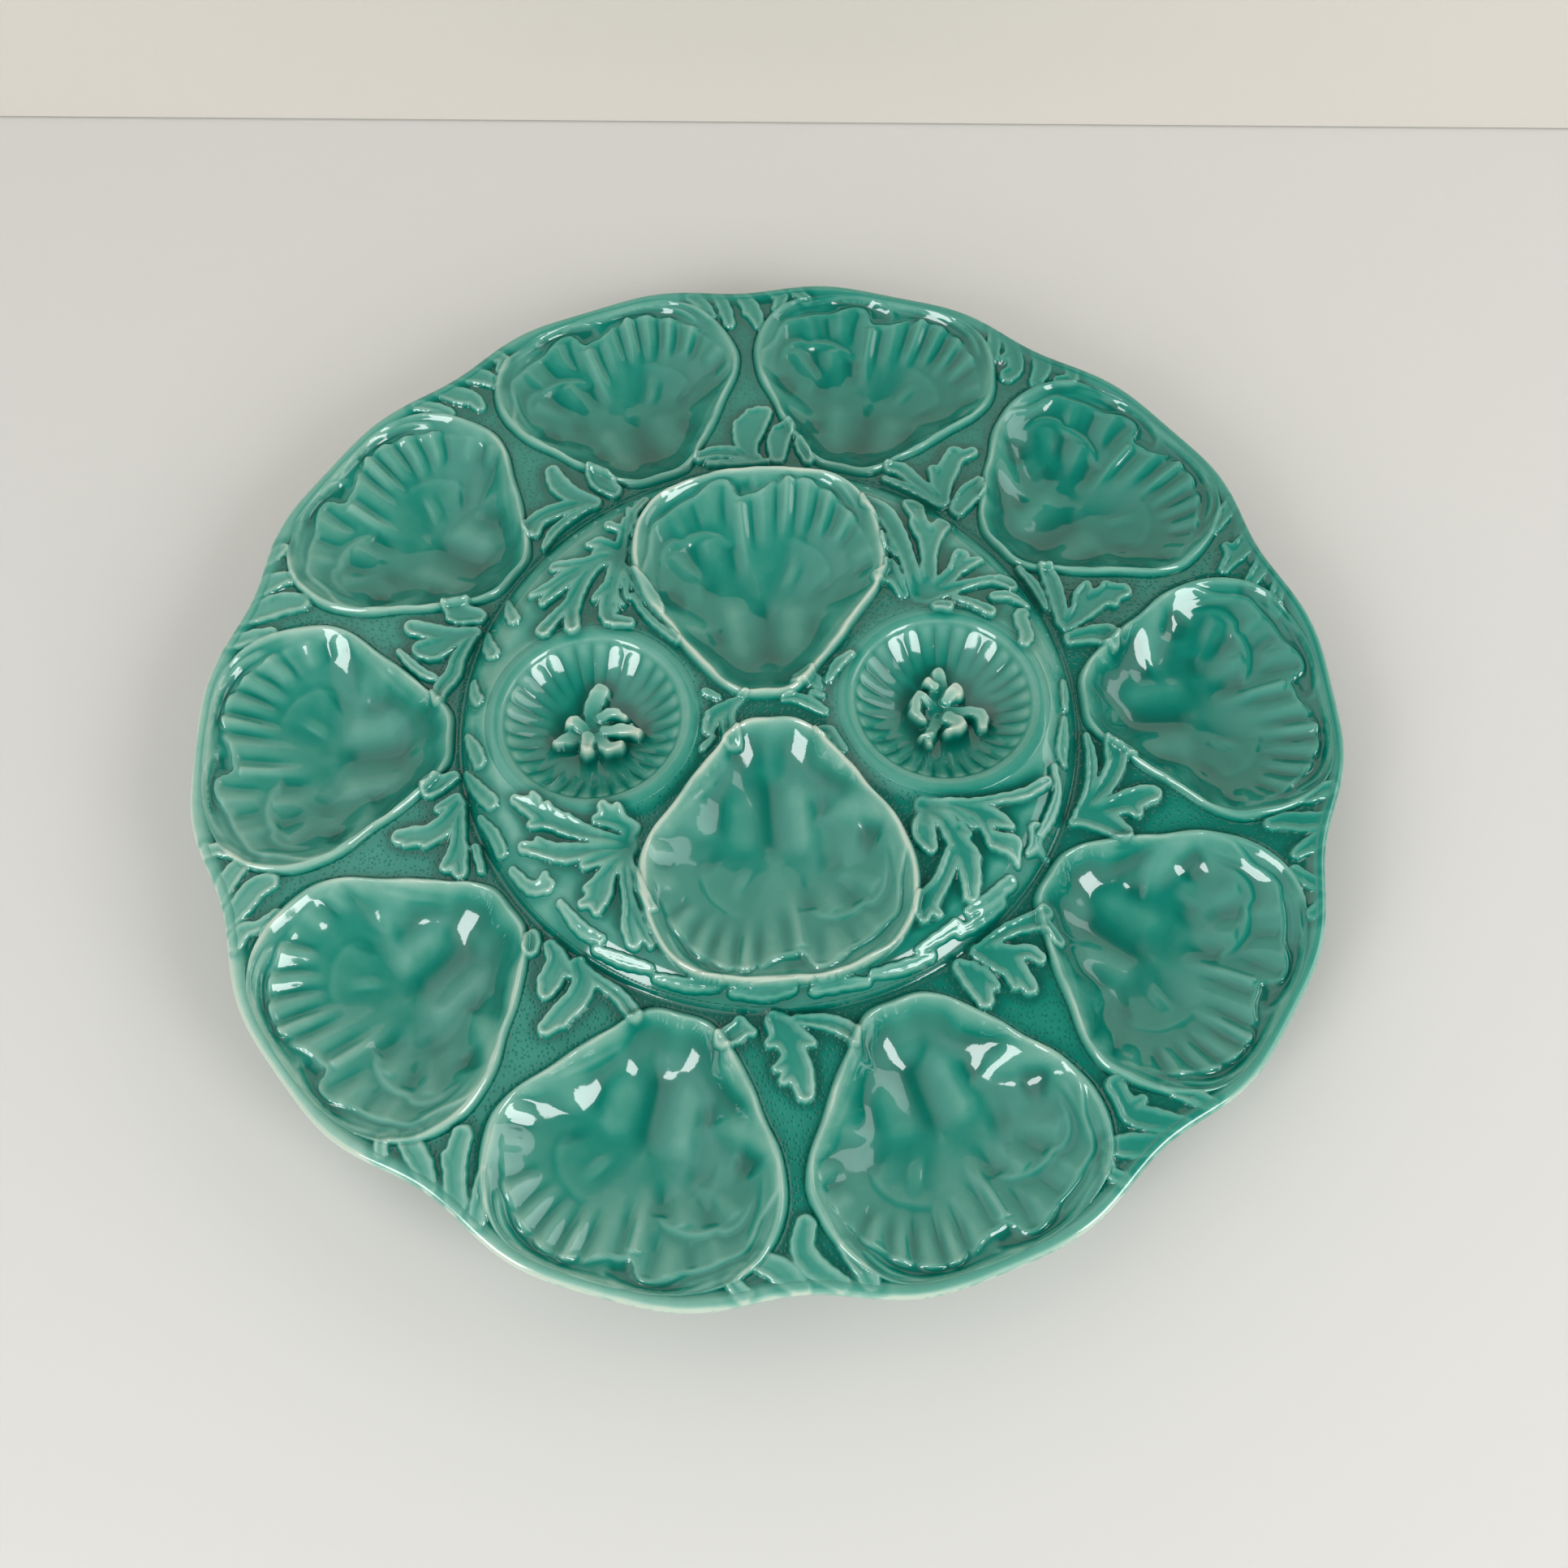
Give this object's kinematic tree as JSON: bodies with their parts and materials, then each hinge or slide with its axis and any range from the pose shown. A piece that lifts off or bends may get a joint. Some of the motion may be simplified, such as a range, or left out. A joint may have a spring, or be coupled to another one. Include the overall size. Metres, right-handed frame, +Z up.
{
  "type": "oyster plate",
  "caption": "Round scalloped oyster plate with oyster-shell wells round a raised centre, fluted sauce cups and seaweed in relief.",
  "frame": {"origin": "middle of the plate on the surface it stands on", "axes": "+Z up, +X towards the right sauce cup, +Y towards the back centre well"},
  "size_m": [0.3678, 0.3618, 0.041],
  "materials": {
    "turquoise_glaze": "gloss translucent majolica glaze, pale on the ridges and deep green in the hollows",
    "seaweed_glaze": "gloss translucent majolica glaze, thin and pale along the leaf edges",
    "foot_glaze": "gloss glaze, wiped to pale clay where the ring stands"
  },
  "bodies": {
    "root": {"rim_band": "turquoise_glaze", "raised_centre": "turquoise_glaze", "foot_ring": "foot_glaze", "oyster_well_01": "turquoise_glaze", "oyster_well_02": "turquoise_glaze", "oyster_well_03": "turquoise_glaze", "oyster_well_04": "turquoise_glaze", "oyster_well_05": "turquoise_glaze", "oyster_well_06": "turquoise_glaze", "oyster_well_07": "turquoise_glaze", "oyster_well_08": "turquoise_glaze", "oyster_well_09": "turquoise_glaze", "oyster_well_10": "turquoise_glaze", "centre_well_back": "turquoise_glaze", "centre_well_front": "turquoise_glaze", "sauce_cup_right": "turquoise_glaze", "sauce_cup_left": "turquoise_glaze", "cup_knob_right": "seaweed_glaze", "cup_knob_left": "seaweed_glaze", "gap_frond_01": "seaweed_glaze", "gap_frond_02": "seaweed_glaze", "gap_frond_03": "seaweed_glaze", "gap_frond_04": "seaweed_glaze", "gap_frond_05": "seaweed_glaze", "gap_frond_06": "seaweed_glaze", "gap_frond_07": "seaweed_glaze", "gap_frond_08": "seaweed_glaze", "gap_frond_09": "seaweed_glaze", "gap_frond_10": "seaweed_glaze", "rim_sprig_01": "seaweed_glaze", "rim_sprig_02": "seaweed_glaze", "rim_sprig_03": "seaweed_glaze", "rim_sprig_04": "seaweed_glaze", "rim_sprig_05": "seaweed_glaze", "rim_sprig_06": "seaweed_glaze", "rim_sprig_07": "seaweed_glaze", "rim_sprig_08": "seaweed_glaze", "rim_sprig_09": "seaweed_glaze", "rim_sprig_10": "seaweed_glaze", "centre_spray_back_left": "seaweed_glaze", "centre_spray_back_right": "seaweed_glaze", "centre_spray_front_left": "seaweed_glaze", "centre_spray_front_right": "seaweed_glaze", "middle_sprig_left": "seaweed_glaze", "middle_sprig_right": "seaweed_glaze", "slope_leaves_left": "seaweed_glaze", "slope_leaves_right": "seaweed_glaze"}
  },
  "joints": []
}
